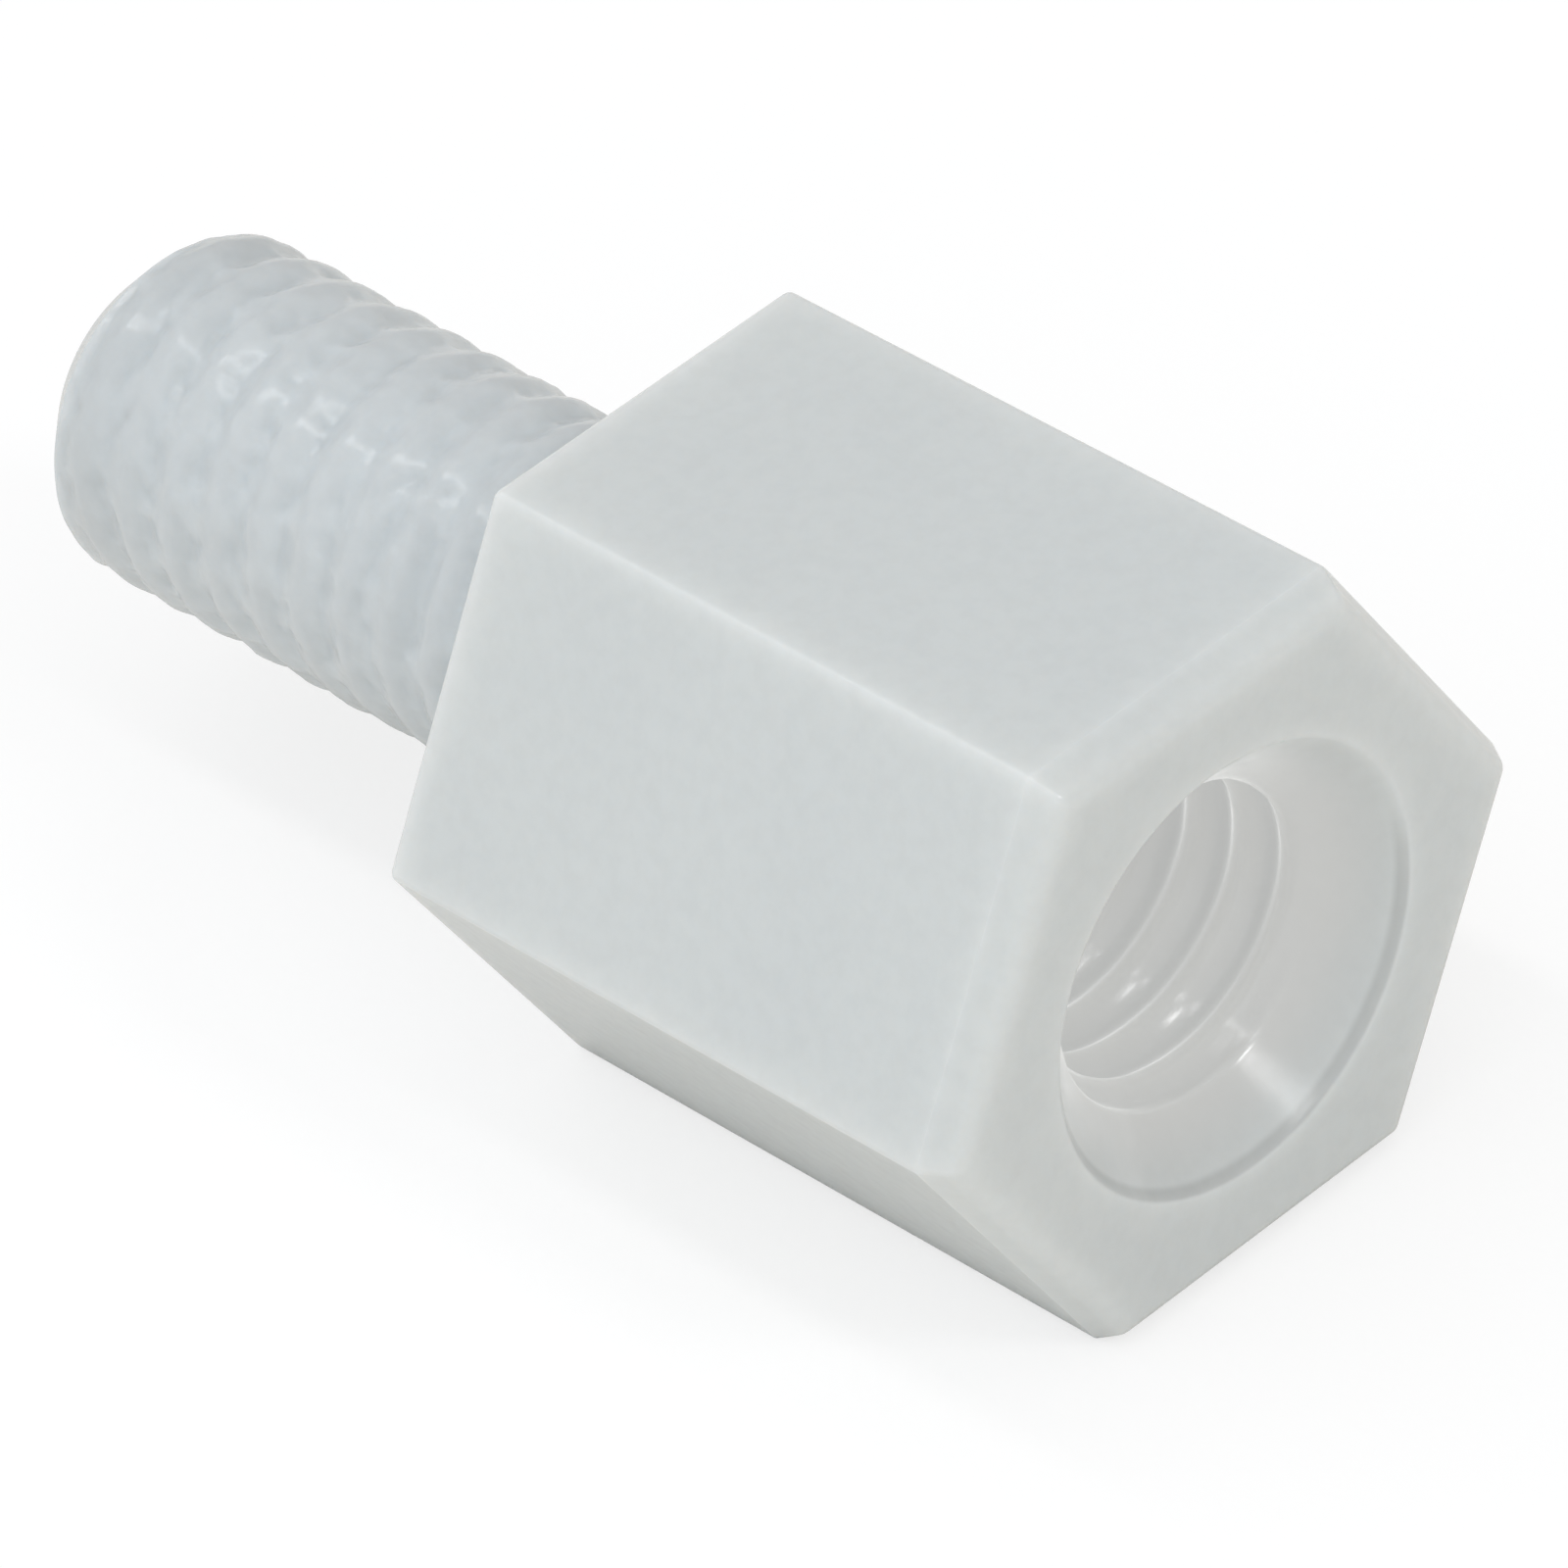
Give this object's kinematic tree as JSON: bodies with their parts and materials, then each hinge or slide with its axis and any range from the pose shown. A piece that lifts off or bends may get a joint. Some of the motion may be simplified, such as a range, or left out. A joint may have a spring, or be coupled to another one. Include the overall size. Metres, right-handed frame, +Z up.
{
  "type": "hex standoff",
  "caption": "Moulded nylon spacer with a hexagonal body, a threaded stud at one end and a tapped, countersunk blind hole at the other.",
  "frame": {"origin": "middle of the flat that the standoff lies on, half-way along its whole length, which is in the plane of the shoulder", "axes": "+X along the standoff's axis towards the tapped end, +Z up from the flat it lies on, +Y level"},
  "size_m": [0.012, 0.0064, 0.0055],
  "materials": {
    "nylon": "natural nylon as moulded: milky, slightly translucent, with a soft sheen"
  },
  "bodies": {
    "root": {"standoff": "nylon"}
  },
  "joints": []
}
